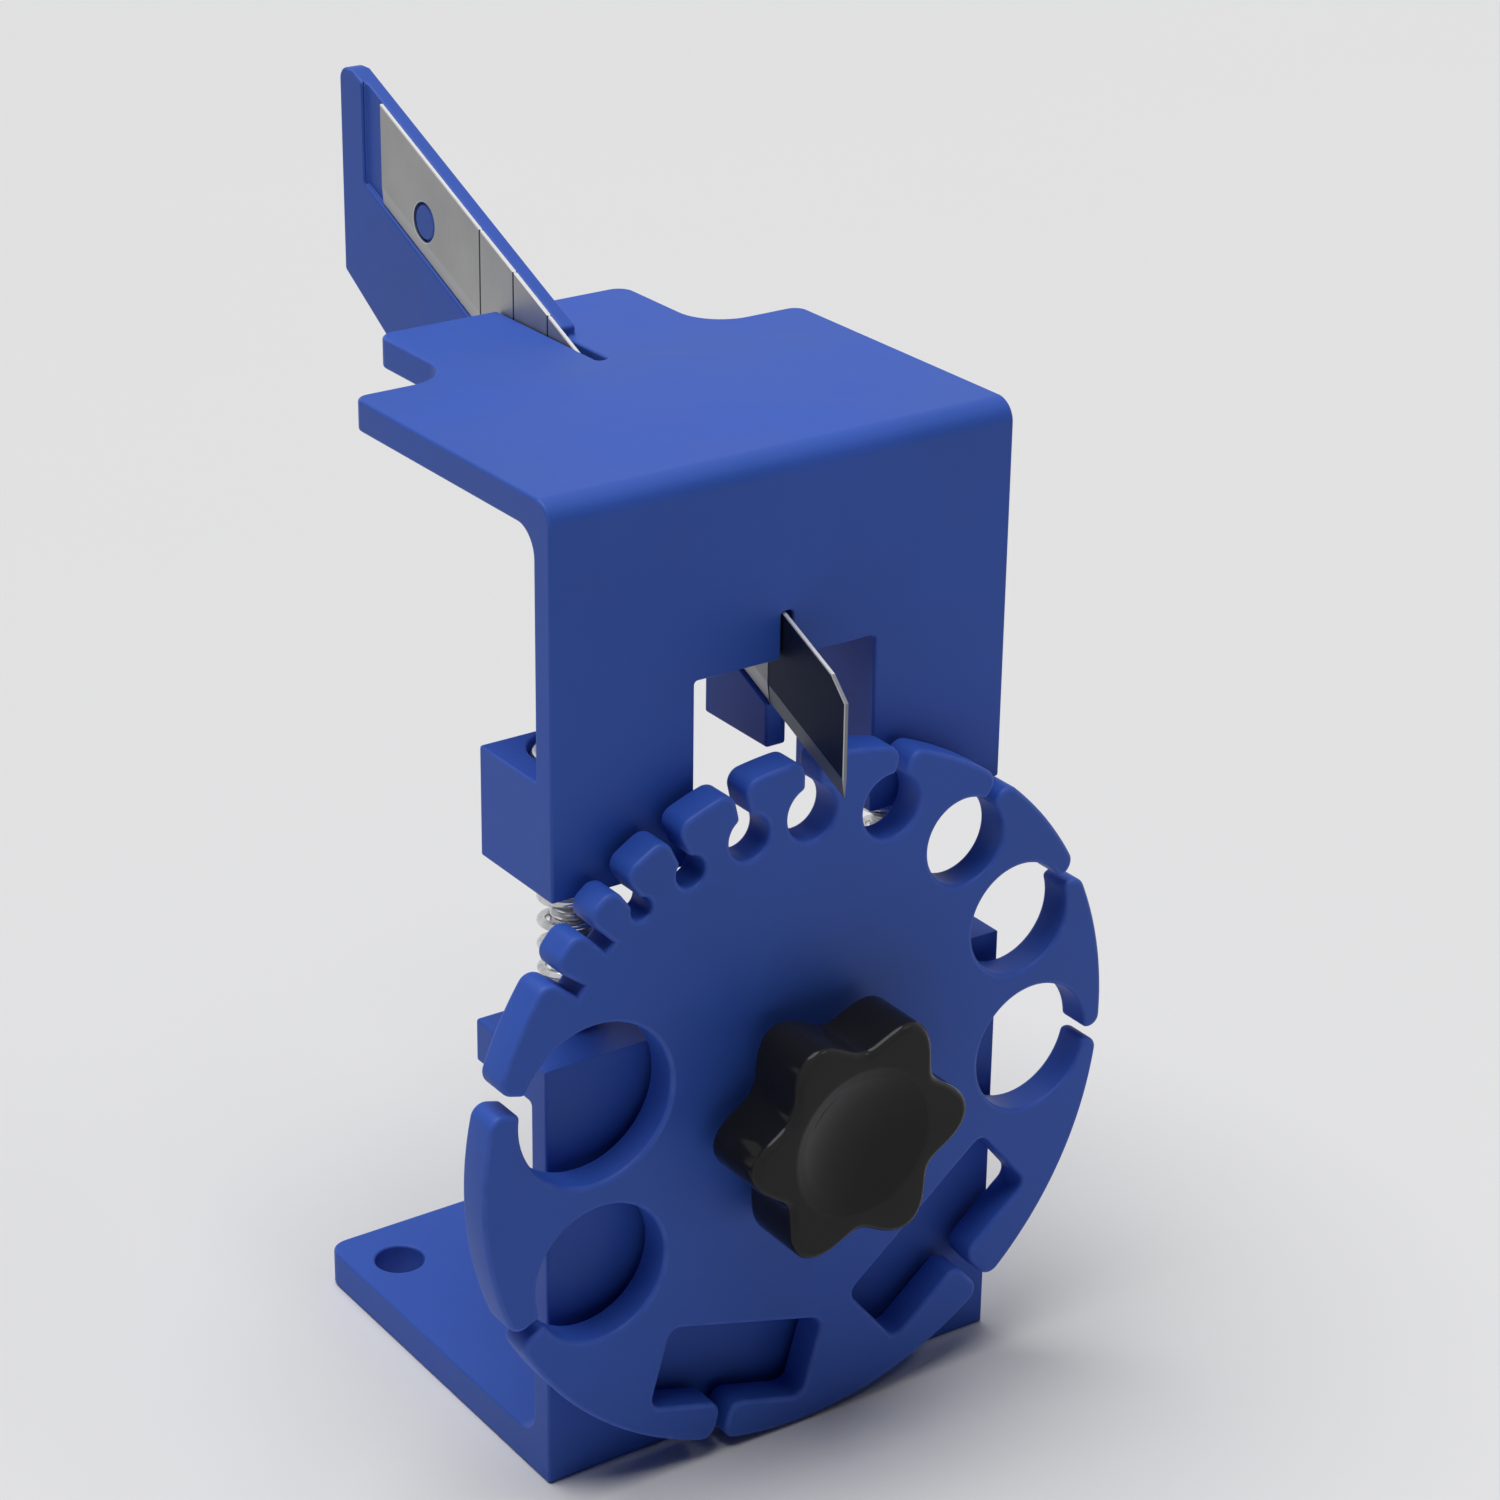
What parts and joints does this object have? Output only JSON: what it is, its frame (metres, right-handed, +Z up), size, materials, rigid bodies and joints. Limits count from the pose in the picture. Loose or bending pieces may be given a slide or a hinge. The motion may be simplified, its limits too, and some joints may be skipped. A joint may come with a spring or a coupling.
{
  "type": "wire stripper",
  "caption": "Press-down bench wire stripper: sprung head with a slanted snap-off blade over a turning disc of slotted holes, clamped by a star knob.",
  "frame": {"origin": "middle of the foot's underside, where the tool stands on the bench", "axes": "+Z up, +Y to the back, +X to the right seen from the front, where the disc is"},
  "size_m": [0.0642, 0.0844, 0.106],
  "materials": {
    "print_blue": "matte printed nylon, dyed blue",
    "blade_steel": "rolled strip with a ground bevel",
    "moulded_black": "glossy moulded black",
    "brass": "turned",
    "washer_steel": "zinc plated",
    "screw_steel": "zinc plated",
    "spring_steel": "bright drawn wire"
  },
  "bodies": {
    "bracket": {"base": "print_blue", "pivot_bolt": "screw_steel", "disc_washer": "washer_steel", "guide_screw_left": "screw_steel", "guide_screw_right": "screw_steel", "guide_washer_left": "washer_steel", "guide_washer_right": "washer_steel", "guide_nut_left": "screw_steel", "guide_nut_right": "screw_steel", "guide_spring_left": "spring_steel", "guide_spring_right": "spring_steel"},
    "head": {"press_head": "print_blue", "blade": "blade_steel"},
    "disc": {"selector_disc": "print_blue"},
    "clamp_washer": {"knob_washer": "washer_steel"},
    "knob": {"star_knob": "moulded_black", "knob_insert": "brass"}
  },
  "joints": [
    {"name": "head_press", "type": "slide", "parent": "bracket", "child": "head", "axis": [0, 0, -1], "range_m": [0, 0.0038], "stiffness_N_per_m": 5000, "springref_m": -0.0013, "deforming": ["guide_spring_left", "guide_spring_right"]},
    {"name": "disc_turn", "type": "hinge", "parent": "bracket", "child": "disc", "pos_m": [0, -0.0221, 0.0323], "axis": [0, -1, 0], "range_deg": [-52.8, 286.4]},
    {"name": "knob_advance", "type": "slide", "parent": "bracket", "child": "clamp_washer", "axis": [0, -1, 0], "range_m": [0, 0.0008]},
    {"name": "knob_turn", "type": "hinge", "parent": "clamp_washer", "child": "knob", "pos_m": [0, -0.0279, 0.0323], "axis": [0, -1, 0], "range_deg": [0, 360]}
  ],
  "couplings": [
    {"joint": "knob_advance", "follows": "knob_turn", "m_per_rad": 0.000127}
  ]
}
